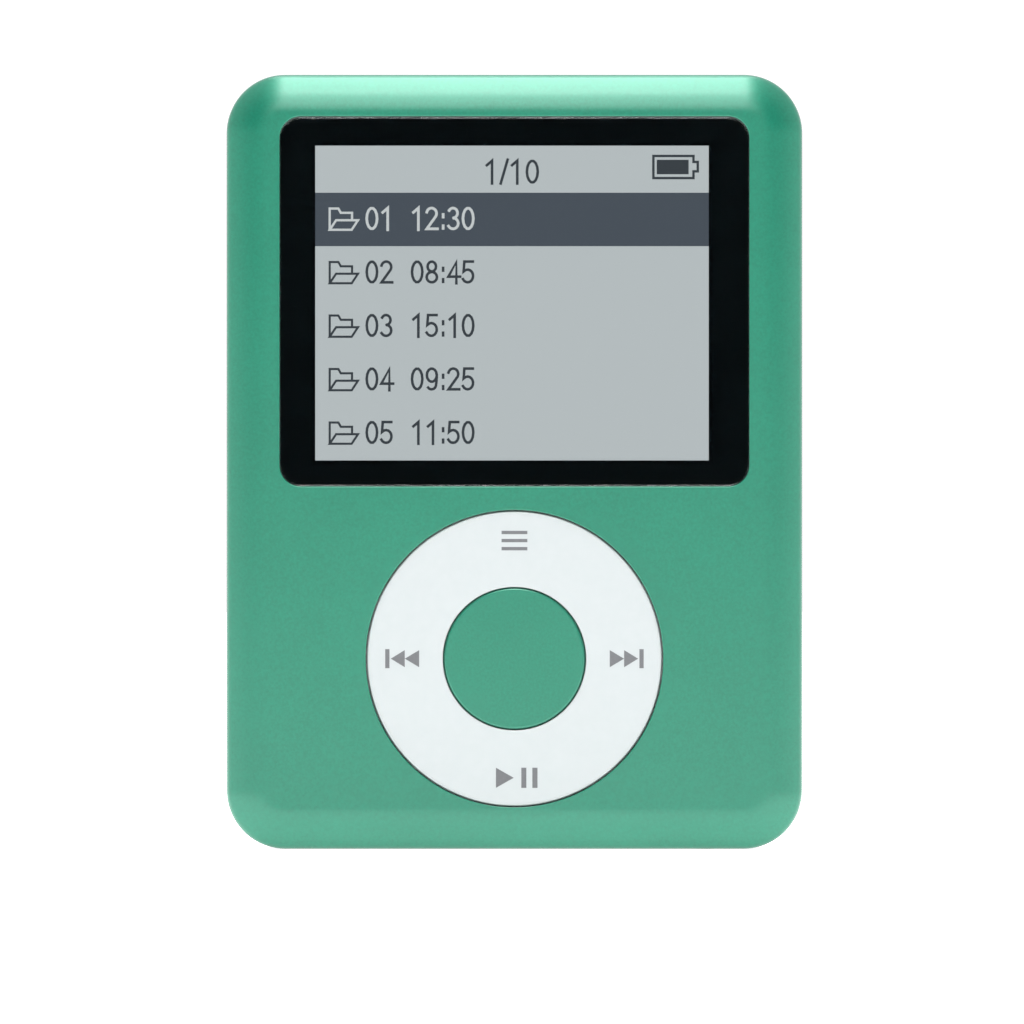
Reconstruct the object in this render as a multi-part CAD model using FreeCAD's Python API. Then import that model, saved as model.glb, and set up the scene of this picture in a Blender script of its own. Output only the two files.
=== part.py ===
import FreeCAD, Part
import math
import os
from FreeCAD import Vector

os.makedirs("parts", exist_ok=True)

# The player stands upright on its bottom edge. Its screen faces -Y, +X is to the viewer's right
# and the origin is at the middle of the bottom edge. All sizes are in millimetres, and a depth
# is measured back from the plane of the front face.

# Whole body: the display, the wheel and the margins round them set its width and height
thickness = 8.0
corner_radius = 5.25
side_margin = 4.825
top_margin = 3.86
middle_margin = 2.09
bottom_margin = 3.81
overshoot = 0.2

# Front shell: pressed aluminium, with a soft pillow edge made of two arcs
shell_wall = 0.8
shell_edge_in = 3.8
shell_edge_deep = 1.7
shell_edge_tight = 0.95
shell_inner_bevel = 2.0
shell_depth = 2.6
shell_step = 0.06
opening_bevel = 0.12

# Rear cover: drawn steel cup
cover_wall = 0.5
cover_edge = 1.3
cover_inner_bevel = 0.8
rim_gap = 0.05
lug_length = 3.4
lug_reach = 0.4
lug_deep = 0.6
lug_depth = 4.45
lug_height_step = 21.0
lug_side_step = 8.7

# Moulded frame between the shells
frame_gap = 0.1
frame_wall = 1.4
frame_front = 1.75
frame_back = 6.8
plate_front = 2.2
plate_thick = 0.8
boss_width = 3.0
crossbar_thick = 0.75
crossbar_gap = 0.22

# Display window
window_border_x = 3.355
window_border_z = 2.435
window_corner = 1.9
window_gap = 0.08
window_recess = 0.08
tape_thick = 0.1
lip_reach = 0.7
lip_thick = 0.3
mask_thick = 0.03
foam_thick = 0.22
foam_band = 1.6
foam_clear = 0.3

# Display module
active_width = 35.04
active_height = 28.03
active_x = -0.22
active_drop = 0.12
glass_thick = 0.45
glass_border = 2.2
glass_ledge = 2.9
guide_thick = 0.5
guide_border = 1.4
module_gap = 0.1
module_wall = 0.5
module_floor = 0.2
foot_width = 1.4
foot_inset = 1.0
chip_thick = 0.3
chip_length = 18.0
chip_width = 1.0
flex_thick = 0.1
flex_width = 12.0
flex_bond = 0.9
flex_reach = 11.0
flex_fold = 0.64
led_width = 0.9
led_length = 2.6
led_pitch = 9.0

# Control wheel
ring_radius = 13.1
wheel_gap = 0.12
ring_top = 0.15
ring_flange_reach = 0.65
ring_flange_front = 1.2
ring_flange_back = 1.6
button_radius = 6.25
button_gap = 0.12
button_flange_reach = 0.95
button_flange_gap = 0.3
button_flange_front = 1.35
button_flange_back = 1.65
ring_bore_depth = 1.05
key_circle = 9.7
post_radius = 1.0
dome_radius = 2.0
dome_rise = 0.25
dome_thick = 0.08
dome_crown = 0.9
dome_sides = 8
dome_gap = 0.06
sheet_thick = 0.1
sheet_border = 0.6
press_gap = 0.03
pad_web = 0.4
pad_foot = 1.6
pad_inner_gap = 0.2

# Main board
board_front = 3.2
board_thick = 0.8
board_gap = 0.15
screw_from_side = 5.9
screw_thread_radius = 0.7
screw_thread_gap = 0.02
screw_hole_gap = 0.2
screw_head_radius = 1.25
screw_head_thick = 0.5
screw_length = 2.3
screw_low_z = 6.7
screw_middle_z = 16.0
screw_high_z = 28.0

# Chips and small components on the back of the board
flash_body = 18.4
flash_height = 12.0
flash_thick = 1.0
flash_from_screw = 1.35
flash_below_battery = 4.0
lead_length = 0.8
lead_thick = 0.15
lead_width = 0.25
lead_pitch = 1.2
processor_side = 7.0
processor_thick = 0.9
processor_from_flash = 3.3
standoff = 0.1
crystal_length = 3.2
crystal_width = 2.5
crystal_thick = 0.7
crystal_from_processor = 1.5
crystal_drop = 1.4
charger_length = 2.9
charger_width = 1.6
charger_thick = 1.1
charger_x = 6.6
charger_z = 9.6
passive_length = 1.0
passive_width = 0.5
passive_thick = 0.5
passive_pitch = 1.6
passive_count = 4
passive_row_start = -8.0

# Battery
battery_width = 40.0
battery_height = 30.0
battery_thick = 3.0
battery_from_top = 3.5
battery_edge = 0.7
battery_tape_thick = 0.1
battery_tape_border = 3.0
cell_board_length = 24.0
cell_board_width = 2.6
cell_board_thick = 1.0
tab_width = 2.0
tab_thick = 0.15
tab_x = 6.0
tab_foot = 1.8

# Hold switch, left of the socket
hold_from_side = 9.7
hold_depth = 4.75
hold_travel = 2.0
knob_length = 2.8
knob_deep = 1.3
knob_recess = 0.12
knob_gap = 0.1
knob_flange_length = 7.2
knob_flange_deep = 2.2
knob_flange_thick = 0.4
knob_root = 2.0
lever_length = 1.3
lever_deep = 0.7
lever_gap = 0.05
lever_root = 3.2
switch_length = 6.7
switch_height = 2.6
switch_thick = 1.4
switch_z = 2.5

# Charging socket
socket_width = 7.5
socket_thick = 2.45
socket_bevel = 0.75
socket_wall = 0.25
socket_length = 5.3
socket_recess = 0.15
socket_gap = 0.15
tongue_width = 3.7
tongue_thick = 0.6
tongue_length = 3.4
contact_width = 0.25
contact_thick = 0.08
contact_pitch = 0.65
contact_count = 5

# Headphone socket
jack_from_side = 8.7
jack_depth = 4.75
jack_bore = 1.8
jack_body_width = 5.6
jack_body_thick = 4.2
jack_body_length = 12.0
jack_body_bevel = 0.4
jack_bore_length = 11.2
jack_lead_in = 0.25
jack_front = 0.7
jack_hole_gap = 0.35
jack_side_gap = 0.15
jack_wing = 0.6
jack_wing_thick = 0.5
jack_wing_short = 1.0
spring_width = 0.9
spring_thick = 0.2
spring_length = 6.0
spring_inset = 0.1

# What follows from the sizes above
window_width = active_width + 2 * window_border_x
window_height = active_height + 2 * window_border_z
wheel_hole = ring_radius + wheel_gap
wheel_z = bottom_margin + wheel_hole
window_z = wheel_z + wheel_hole + middle_margin + window_height / 2
width = window_width + 2 * side_margin
height = window_z + window_height / 2 + top_margin
half_width = width / 2
board_back = board_front + board_thick
active_z = window_z - active_drop
lip_front = shell_wall + tape_thick
lens_back = lip_front + lip_thick
mask_back = lens_back + mask_thick
glass_front = mask_back + foam_thick
ledge_face = glass_front + glass_thick
glass_back = ledge_face + glass_thick
guide_back = glass_back + guide_thick
module_back = guide_back + module_floor
frame_inset = cover_wall + frame_gap
frame_front_inset = shell_step + shell_wall + frame_gap
frame_inner_inset = frame_inset + frame_wall
board_inset = frame_inner_inset + board_gap
ring_bore = button_radius + button_gap
flange_radius = ring_radius + ring_flange_reach
button_flange = button_radius + button_flange_reach
ring_counterbore = button_flange + button_flange_gap
wheel_bay = flange_radius + 3 * wheel_gap
screw_x = half_width - screw_from_side
screw_places = [(-screw_x, screw_low_z), (-screw_x, screw_high_z),
                (screw_x, screw_middle_z), (screw_x, screw_high_z)]
battery_z = height - battery_from_top - battery_height / 2
cell_board_low = battery_z - battery_height / 2 - cell_board_width
flash_x = flash_from_screw + screw_head_radius + lead_length + flash_body / 2 - screw_x
flash_z = cell_board_low - flash_below_battery - flash_height / 2
processor_x = flash_x + flash_body / 2 + lead_length + processor_from_flash + processor_side / 2
processor_z = flash_z
crystal_x = processor_x + processor_side / 2 + crystal_from_processor + crystal_length / 2
crystal_z = processor_z - crystal_drop
hold_x = hold_from_side - half_width
jack_x = half_width - jack_from_side
jack_notch = jack_body_width / 2 + jack_side_gap
jack_end = jack_front + jack_body_length
glass_left = active_x - active_width / 2 - glass_border
seal_right = active_x + active_width / 2 + glass_border
glass_right = seal_right + glass_ledge
glass_low = active_z - active_height / 2 - glass_border
glass_high = active_z + active_height / 2 + glass_border
module_border = module_gap + module_wall
socket_middle = board_back + socket_thick / 2
slot_length = knob_length + hold_travel + 2 * knob_gap
key_top = board_front - dome_rise - press_gap


def at(x, depth, z):
    """A point from its place across, its depth behind the front face and its height."""
    return Vector(x, depth - thickness / 2, z)


def block(x, depth, z):
    """A box between two limits along each direction."""
    size = [high - low for low, high in (x, depth, z)]
    return Part.makeBox(*size, at(x[0], depth[0], z[0]))


def around(middle, size):
    return middle - size / 2, middle + size / 2


def rounded_slab(x, z, radius, depth):
    """A flat plate with rounded corners, between two depths."""
    slab = block(x, depth, z)
    if radius <= 0:
        return slab
    corners = [e for e in slab.Edges if abs(e.tangentAt(e.FirstParameter).y) > 0.5]
    return slab.makeFillet(radius, corners)


def outline_slab(inset, depth):
    """A plate that follows the player's outline, drawn in by an inset."""
    return rounded_slab((inset - half_width, half_width - inset), (inset, height - inset),
                        corner_radius - inset, depth)


def disc(radius, depth, x=0.0, z=wheel_z):
    return Part.makeCylinder(radius, depth[1] - depth[0], at(x, depth[0], z), Vector(0, 1, 0))


def upright_rod(radius, x, depth, z):
    return Part.makeCylinder(radius, z[1] - z[0], at(x, depth, z[0]), Vector(0, 0, 1))


def turned(points, x=0.0, z=wheel_z):
    """A solid of revolution about the depth direction, from radius and depth pairs."""
    corners = [at(x + radius, depth, z) for radius, depth in points]
    face = Part.Face(Part.makePolygon(corners + corners[:1]))
    return face.revolve(at(x, 0, z), Vector(0, 1, 0), 360)


def prism_along(points, depth, z):
    """A solid of one cross-section in X and depth, run up from one height to another."""
    corners = [at(x, depth + deep, z[0]) for x, deep in points]
    return Part.Face(Part.makePolygon(corners + corners[:1])).extrude(Vector(0, 0, z[1] - z[0]))


def joined(shapes):
    return shapes[0].multiFuse(shapes[1:]).removeSplitter() if len(shapes) > 1 else shapes[0]


def edge_curve(turn, crown, hub, tight):
    """Edges from the side of a slab to its face, about the hub of their quarter oval.

    A tight radius of zero gives a straight bevel, and one as large as the edge a plain round.
    Otherwise an arc of that radius leaves the side, and a wider arc, tangent to it, runs out
    level on the face.
    """
    if tight == 0:
        return [Part.makeLine(turn, crown)]
    side, face = turn - hub, crown - hub
    edge_in, edge_deep = side.Length, face.Length
    side, face = side / edge_in, face / edge_deep
    near = hub + side * (edge_in - tight)
    if edge_deep - tight < 1e-6:
        return [Part.Arc(turn, near + (side + face) * (tight * math.sqrt(0.5)), crown).toShape()]
    wide = ((edge_in - tight) ** 2 + edge_deep ** 2 - tight ** 2) / (2 * (edge_deep - tight))
    far = hub + face * (edge_deep - wide)
    slope = math.atan2(wide - edge_deep, edge_in - tight)

    def on(centre, radius, angle):
        return centre + side * (radius * math.cos(angle)) + face * (radius * math.sin(angle))

    meet = on(near, tight, slope)
    return [Part.Arc(turn, on(near, tight, slope / 2), meet).toShape(),
            Part.Arc(meet, on(far, wide, (slope + math.pi / 2) / 2), crown).toShape()]


def pillow(inset, edge_in, edge_deep, tight, face, base):
    """A slab on the player's outline whose edge at the face is rounded or bevelled.

    The straight sides are the profile pushed along, and the corners are the profile turned
    about the corner's own axis.
    """
    inward = 1 if base > face else -1
    radius = corner_radius - inset
    middle = at(0, 0, height / 2)
    pieces = [outline_slab(inset + edge_in, sorted((face, base)))]
    for quarter in range(4):
        angle = quarter * math.pi / 2
        out = Vector(round(math.cos(angle)), 0, round(math.sin(angle)))
        along = Vector(-out.z, 0, out.x)
        reach, run = (half_width, height / 2) if quarter % 2 == 0 else (height / 2, half_width)
        reach, run = reach - inset, run - inset - radius

        def spot(from_middle, depth):
            return middle + out * from_middle - along * run + Vector(0, depth, 0)

        low, turn = spot(reach, base), spot(reach, face + inward * edge_deep)
        crown, foot = spot(reach - edge_in, face), spot(reach - edge_in, base)
        hub = spot(reach - edge_in, face + inward * edge_deep)
        edges = [Part.makeLine(low, turn)] + edge_curve(turn, crown, hub, tight)
        edges += [Part.makeLine(crown, foot), Part.makeLine(foot, low)]
        section = Part.Face(Part.Wire(edges))
        pieces.append(section.extrude(along * 2 * run))
        section.translate(along * 2 * run)
        pivot = middle + out * (reach - radius) + along * run
        pieces.append(section.revolve(pivot, out.cross(along), 90))
    return joined(pieces)


def edges_at(shape, depth):
    """Edges that lie at one depth all along."""
    return [edge for edge in shape.Edges
            if all(abs(vertex.Y - depth + thickness / 2) < 1e-6 for vertex in edge.Vertexes)]


def make_front_shell():
    outer = pillow(shell_step, shell_edge_in, shell_edge_deep, shell_edge_tight, 0, shell_depth)
    inner = pillow(shell_step + shell_wall, shell_inner_bevel, shell_edge_deep - shell_wall, 0,
                   shell_wall, shell_depth + shell_wall)
    through = (-overshoot, shell_wall + overshoot)
    opening = rounded_slab(around(0, window_width), around(window_z, window_height),
                           window_corner, through)
    mouth = rounded_slab(around(0, window_width + 2 * opening_bevel),
                         around(window_z, window_height + 2 * opening_bevel),
                         window_corner + opening_bevel, (-overshoot, opening_bevel))
    mouth = mouth.makeChamfer(opening_bevel, edges_at(mouth, opening_bevel))
    return outer.cut(inner).cut(opening).cut(mouth).cut(disc(wheel_hole, through))


def side_places():
    """Middles and outward directions of the snap lugs round the rim."""
    places = []
    for side in (-1, 1):
        for step in (-1, 0, 1):
            places.append((side * half_width, height / 2 + step * lug_height_step, (side, 0)))
        places.append((side * lug_side_step, height, (0, 1)))
        places.append((side * lug_side_step, 0, (0, -1)))
    return places


def lug(x, z, out, length, low_reach, high_reach, depth):
    """A block on the rim between two distances in from the outline."""
    if out[0]:
        across = sorted((x - out[0] * low_reach, x - out[0] * high_reach))
        return block(across, depth, around(z, length))
    return block(around(x, length), depth, sorted((z - out[1] * low_reach, z - out[1] * high_reach)))


def make_rear_cover():
    rim = shell_depth + rim_gap
    outer = pillow(0, cover_edge, cover_edge, cover_edge, thickness, rim)
    inner = pillow(cover_wall, cover_inner_bevel, cover_inner_bevel, 0,
                   thickness - cover_wall, rim - cover_wall)
    cover = outer.cut(inner)
    lugs = [lug(x, z, out, lug_length, cover_wall / 2, cover_wall + frame_gap + lug_reach,
                (lug_depth, lug_depth + lug_deep)) for x, z, out in side_places()]
    cover = joined([cover] + lugs)
    through = (-overshoot, cover_wall + overshoot)
    socket = block(around(0, socket_width + 2 * socket_gap),
                   around(socket_middle, socket_thick + 2 * socket_gap), through)
    jack = upright_rod(jack_bore + jack_hole_gap, jack_x, jack_depth, through)
    slot = block(around(hold_x, slot_length), around(hold_depth, knob_deep + 2 * knob_gap),
                 through)
    return cover.cut(socket).cut(jack).cut(slot)


def make_mid_frame():
    rear = outline_slab(frame_inset, (shell_depth, frame_back))
    front = outline_slab(frame_front_inset, (frame_front, shell_depth))
    frame = joined([rear, front]).cut(outline_slab(frame_inner_inset, (0, thickness)))
    past_wall = frame_inner_inset + overshoot
    inner_x = around(0, width - 2 * frame_inner_inset + 2 * overshoot)
    bar_low = wheel_z + flange_radius + crossbar_gap
    bar_high = bar_low + crossbar_thick
    plate = block(inner_x, (plate_front, plate_front + plate_thick),
                  (frame_inner_inset - overshoot, bar_high))
    crossbar = block(inner_x, (frame_front, plate_front + plate_thick), (bar_low, bar_high))
    bosses = [block(around(x, boss_width), (plate_front, board_front), around(z, boss_width))
              for x, z in screw_places]
    room = outline_slab(frame_inner_inset - frame_gap, (0, thickness))
    frame = joined([frame, plate.common(room), crossbar] + bosses)
    cuts = [disc(wheel_bay, (0, thickness))]
    cuts += [disc(screw_thread_radius + screw_thread_gap, (0, thickness), x, z)
             for x, z in screw_places]
    cuts += [lug(x, z, out, lug_length + 4 * frame_gap, 0, past_wall,
                 (lug_depth - frame_gap, lug_depth + lug_deep)) for x, z, out in side_places()]
    cuts.append(block(around(jack_x, jack_body_width + 2 * (jack_wing + jack_side_gap)),
                      (plate_front - overshoot, thickness), (0, jack_end + jack_side_gap)))
    cuts.append(block(around(0, socket_width + 2 * socket_gap), (board_front, thickness),
                      (0, past_wall)))
    flange_room = knob_flange_length + hold_travel + 2 * knob_gap
    cuts.append(block(around(hold_x, flange_room), (board_front, thickness), (0, past_wall)))
    for cut in cuts:
        frame = frame.cut(cut)
    return frame


def make_display_window():
    body = rounded_slab(around(0, window_width - 2 * window_gap),
                        around(window_z, window_height - 2 * window_gap),
                        window_corner - window_gap, (window_recess, lens_back))
    lip = rounded_slab(around(0, window_width + 2 * lip_reach),
                       around(window_z, window_height + 2 * lip_reach),
                       window_corner + lip_reach, (lip_front, lens_back))
    return joined([body, lip])


def make_window_tape():
    outer = rounded_slab(around(0, window_width + 2 * lip_reach),
                         around(window_z, window_height + 2 * lip_reach),
                         window_corner + lip_reach, (shell_wall, lip_front))
    return outer.cut(rounded_slab(around(0, window_width), around(window_z, window_height),
                                  window_corner, (0, thickness)))


def make_window_mask():
    outer = rounded_slab(around(0, window_width + 2 * lip_reach),
                         around(window_z, window_height + 2 * lip_reach),
                         window_corner + lip_reach, (lens_back, mask_back))
    return outer.cut(block(around(active_x, active_width), (0, thickness),
                           around(active_z, active_height)))


def make_display_cushion():
    outer = block(around(active_x, active_width + 2 * foam_band), (mask_back, glass_front),
                  around(active_z, active_height + 2 * foam_band))
    return outer.cut(block(around(active_x, active_width + 2 * foam_clear), (0, thickness),
                           around(active_z, active_height + 2 * foam_clear)))


def make_module_frame():
    """White tray that holds the glass and the light guide, open at the front."""
    tray = block((glass_left - module_border, glass_right + module_border),
                 (glass_front, module_back),
                 (glass_low - module_border, glass_high + module_border))
    glass_room = block((glass_left - module_gap, glass_right + module_gap), (0, glass_back),
                       (glass_low - module_gap, glass_high + module_gap))
    guide_room = block((glass_left + module_wall, seal_right + module_gap),
                       (0, guide_back), (glass_low + module_wall, glass_high - module_wall))
    flex_room = block((glass_right, glass_right + 2 * module_border), (0, thickness),
                      around(active_z, flex_width + 4 * module_gap))
    feet = []
    for x in (glass_left + foot_inset, glass_right - foot_inset):
        for z in (glass_low + foot_inset, glass_high - foot_inset):
            feet.append(block(around(x, foot_width), (module_back - module_floor, board_front),
                              around(z, foot_width)))
    return joined([tray.cut(glass_room).cut(guide_room).cut(flex_room)] + feet)


def make_display_flex():
    """Flexible circuit that leaves the glass ledge and folds behind the display."""
    bend_x = half_width - frame_inner_inset - frame_gap - flex_fold - flex_thick / 2
    top = ledge_face - flex_thick / 2
    bottom = top + 2 * flex_fold
    outer, inner = flex_fold + flex_thick / 2, flex_fold - flex_thick / 2
    hub = at(bend_x, top + flex_fold, active_z - flex_width / 2)

    def arc(radius):
        side, drop = Vector(radius, 0, 0), Vector(0, radius, 0)
        return Part.Arc(hub - drop, hub + side, hub + drop).toShape()

    def line(start, end):
        return Part.makeLine(at(*start, hub.z), at(*end, hub.z))

    first_x, last_x = glass_right - flex_bond, bend_x - flex_reach
    wire = Part.Wire([
        line((first_x, top - flex_thick / 2), (bend_x, top - flex_thick / 2)), arc(outer),
        line((bend_x, bottom + flex_thick / 2), (last_x, bottom + flex_thick / 2)),
        line((last_x, bottom + flex_thick / 2), (last_x, bottom - flex_thick / 2)),
        line((last_x, bottom - flex_thick / 2), (bend_x, bottom - flex_thick / 2)), arc(inner),
        line((bend_x, top + flex_thick / 2), (first_x, top + flex_thick / 2)),
        line((first_x, top + flex_thick / 2), (first_x, top - flex_thick / 2))])
    return Part.Face(wire).extrude(Vector(0, 0, flex_width))


def make_nav_ring():
    back = ring_flange_back
    return turned([(ring_bore, ring_top), (ring_radius, ring_top), (ring_radius, ring_flange_front),
                   (flange_radius, ring_flange_front), (flange_radius, back),
                   (ring_counterbore, back), (ring_counterbore, ring_bore_depth),
                   (ring_bore, ring_bore_depth)])


def make_center_button():
    return turned([(0, ring_top), (button_radius, ring_top),
                   (button_radius, button_flange_front), (button_flange, button_flange_front),
                   (button_flange, button_flange_back), (post_radius, button_flange_back),
                   (post_radius, key_top), (0, key_top)])


def key_places():
    return [(key_circle * math.cos(quarter * math.pi / 2),
             wheel_z + key_circle * math.sin(quarter * math.pi / 2)) for quarter in range(4)]


def make_ring_pad():
    """Silicone pad under the ring: a web, four nubs over the domes and four feet between."""
    pad_inner = ring_counterbore + pad_inner_gap
    pad_outer = flange_radius - 2 * wheel_gap
    web_back = ring_flange_back + pad_web
    pad = turned([(pad_inner, ring_flange_back), (pad_outer, ring_flange_back),
                  (pad_outer, web_back), (pad_inner, web_back)])
    nubs = [disc(post_radius, (ring_flange_back + pad_web / 2, key_top), x, z)
            for x, z in key_places()]
    foot_place = (pad_outer - pad_foot) * math.sqrt(0.5)
    feet = [block(around(side * foot_place, pad_foot), (web_back - pad_web / 2, board_front),
                  around(wheel_z + end * foot_place, pad_foot))
            for side in (-1, 1) for end in (-1, 1)]
    return joined([pad] + nubs + feet)


def octagon(radius, depth, x, z):
    """Corner points of an even outline whose flats stand at the given radius."""
    reach = radius / math.cos(math.pi / dome_sides)
    turns = [(i + 0.5) * 2 * math.pi / dome_sides for i in range(dome_sides)]
    return [at(x + reach * math.cos(a), depth, z + reach * math.sin(a)) for a in turns]


def dome_form(radius, crown, depths, x, z):
    """Flat-sided form with the given radius at the first depth and crown at the second."""
    low, high = octagon(radius, depths[0], x, z), octagon(crown, depths[1], x, z)
    outlines = [low, high]
    for i in range(dome_sides):
        outlines.append([low[i - 1], low[i], high[i], high[i - 1]])
    faces = [Part.Face(Part.makePolygon(points + points[:1])) for points in outlines]
    solid = Part.Solid(Part.Shell(faces))
    if solid.Volume < 0:
        solid.reverse()
    return solid


def snap_dome(x, z):
    """Eight-sided spring dome of even thickness, standing on the front of the board."""
    top = board_front - dome_rise
    outer = dome_form(dome_radius, dome_crown, (board_front, top), x, z)
    return outer.cut(dome_form(dome_radius - dome_thick, dome_crown - dome_thick / 2,
                               (board_front, top + dome_thick), x, z))


def make_dome_sheet():
    """Thin cross of film on the board that holds each snap dome in its own hole."""
    deep = (board_front - sheet_thick, board_front)
    reach, half = key_circle + dome_radius + sheet_border, dome_radius + sheet_border
    sheet = joined([block((-reach, reach), deep, around(wheel_z, 2 * half)),
                    block((-half, half), deep, around(wheel_z, 2 * reach))])
    for x, z in key_places() + [(0, wheel_z)]:
        room = dome_radius + dome_gap
        sheet = sheet.cut(dome_form(room, room, (0, thickness), x, z))
    return sheet


def make_main_board():
    board = outline_slab(board_inset, (board_front, board_back))
    board = board.cut(block(around(jack_x, 2 * jack_notch), (0, thickness),
                            (0, jack_end + jack_side_gap)))
    for x, z in screw_places:
        board = board.cut(disc(screw_thread_radius + screw_hole_gap, (0, thickness), x, z))
    return board


def make_frame_screws():
    """Four short screws that hold the board on the bosses."""
    foot, head = board_back - screw_length, board_back + screw_head_thick
    return Part.makeCompound([turned([
        (0, foot), (screw_thread_radius, foot), (screw_thread_radius, board_back),
        (screw_head_radius, board_back), (screw_head_radius, head), (0, head)], x, z)
        for x, z in screw_places])


def make_flash_chip():
    """Flat memory chip with a row of leads along each short side."""
    top = board_back + standoff + flash_thick
    chip = block(around(flash_x, flash_body), (board_back + standoff, top),
                 around(flash_z, flash_height))
    count = int((flash_height - lead_pitch) / lead_pitch)
    leads = []
    for side in (-1, 1):
        edge = flash_x + side * flash_body / 2
        across = sorted((edge - side * lead_width, edge + side * lead_length))
        for i in range(count):
            z = flash_z + (i - (count - 1) / 2) * lead_pitch
            leads.append(block(across, (board_back, board_back + standoff + lead_thick),
                               around(z, lead_width)))
    return joined([chip] + leads)


def make_board_parts():
    """Small resistors and capacitors, in two rows by the processor and one by the socket."""
    parts = []
    deep = (board_back, board_back + passive_thick)
    row_start = processor_x - processor_side / 2
    for i in range(passive_count):
        x = row_start + i * passive_pitch
        above = processor_z + processor_side / 2 + passive_pitch
        below = processor_z - processor_side / 2 - passive_pitch
        parts.append(block(around(x, passive_width), deep, around(above, passive_length)))
        parts.append(block(around(x, passive_width), deep, around(below, passive_length)))
        parts.append(block(around(passive_row_start + i * passive_pitch, passive_width), deep,
                           around(charger_z, passive_length)))
    return Part.makeCompound(parts)


def make_battery():
    """Pouch cell with soft edges, stuck to the back of the board."""
    deep = (board_back + battery_tape_thick, board_back + battery_tape_thick + battery_thick)
    cell = block(around(0, battery_width), deep, around(battery_z, battery_height))
    sides = [e for e in cell.Edges if abs(e.tangentAt(e.FirstParameter).x) < 0.5
             and abs(e.tangentAt(e.FirstParameter).y) < 0.5]
    return cell.makeFillet(battery_edge, sides)


def make_battery_tape():
    return block(around(0, battery_width - 2 * battery_tape_border),
                 (board_back, board_back + battery_tape_thick),
                 around(battery_z, battery_height - 2 * battery_tape_border))


def cell_board_limits():
    middle = board_back + battery_tape_thick + battery_thick / 2
    return around(middle, cell_board_thick), (cell_board_low, cell_board_low + cell_board_width)


def make_battery_board():
    deep, up = cell_board_limits()
    return block(around(0, cell_board_length), deep, up)


def make_battery_tab(x):
    """Bent nickel strip from the front of the cell's own board down to the main board."""
    deep, up = cell_board_limits()
    strip = block(around(x, tab_width), (board_back, deep[0]), (up[0], up[0] + tab_thick))
    foot = block(around(x, tab_width), (board_back, board_back + tab_thick),
                 (up[0] - tab_foot, up[0] + tab_thick))
    land = block(around(x, tab_width), (deep[0] - tab_thick, deep[0]),
                 (up[0], up[0] + tab_foot))
    return joined([strip, foot, land])


def make_hold_knob():
    """Finger knob in its slot, with a flange inside the cover and a fork round the lever."""
    x = hold_x - hold_travel / 2
    knob = block(around(x, knob_length), around(hold_depth, knob_deep),
                 (knob_recess, knob_root))
    flange_z = cover_wall + knob_gap
    flange = block(around(x, knob_flange_length), around(hold_depth, knob_flange_deep),
                   (flange_z, flange_z + knob_flange_thick))
    groove_step = knob_length / 5
    knob = joined([knob, flange])
    for i in range(-1, 2):
        knob = knob.cut(block(around(x + i * groove_step, groove_step / 2),
                              around(hold_depth, knob_deep), (0, 2 * knob_recess)))
    return knob.cut(block(around(x, lever_length + 2 * lever_gap),
                          around(hold_depth, knob_deep),
                          (flange_z + knob_flange_thick, knob_root)))


def lever_depth():
    return board_back + switch_thick / 2


def make_hold_lever():
    low = cover_wall + knob_gap + knob_flange_thick + lever_gap
    return block(around(hold_x - hold_travel / 2, lever_length), around(lever_depth(), lever_deep),
                 (low, lever_root))


def make_hold_switch():
    body = block(around(hold_x, switch_length), (board_back, board_back + switch_thick),
                 (switch_z, switch_z + switch_height))
    room = lever_length + hold_travel + 4 * lever_gap
    return body.cut(block(around(hold_x, room), around(lever_depth(), lever_deep + 2 * lever_gap),
                          (0, lever_root + lever_gap)))


def socket_section(inset):
    """Outline of the socket: flat against the board, with two bevelled outer corners."""
    half = socket_width / 2 - inset
    low, high = inset, socket_thick - inset
    bevel = socket_bevel
    return [(-half, low), (half, low), (half, high - bevel), (half - bevel, high),
            (bevel - half, high), (-half, high - bevel)]


def make_socket_shell():
    z = (socket_recess, socket_recess + socket_length)
    shell = prism_along(socket_section(0), board_back, z)
    return shell.cut(prism_along(socket_section(socket_wall), board_back, (0, z[1] - socket_wall)))


def make_socket_tongue():
    """Moulded block at the back of the socket, with the thin tongue that enters the plug."""
    back = socket_recess + socket_length - socket_wall
    root = back - (socket_length - tongue_length - 2 * socket_wall)
    core = prism_along(socket_section(socket_wall), board_back, (root, back))
    tongue = block(around(0, tongue_width), around(socket_middle, tongue_thick),
                   (root - tongue_length, root))
    return joined([core, tongue])


def make_socket_contacts():
    back = socket_recess + socket_length - socket_wall
    root = back - (socket_length - tongue_length - 2 * socket_wall)
    face = socket_middle + tongue_thick / 2
    strips = []
    for i in range(contact_count):
        x = (i - (contact_count - 1) / 2) * contact_pitch
        strips.append(block(around(x, contact_width), (face, face + contact_thick),
                            (root - tongue_length + contact_width, root)))
    return Part.makeCompound(strips)


def spring_limits():
    z_low = jack_front + (jack_bore_length - spring_length) / 2
    return z_low, z_low + spring_length


def spring_sides():
    """The springs press on the plug from the two sides."""
    return (-1, 1)


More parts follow.
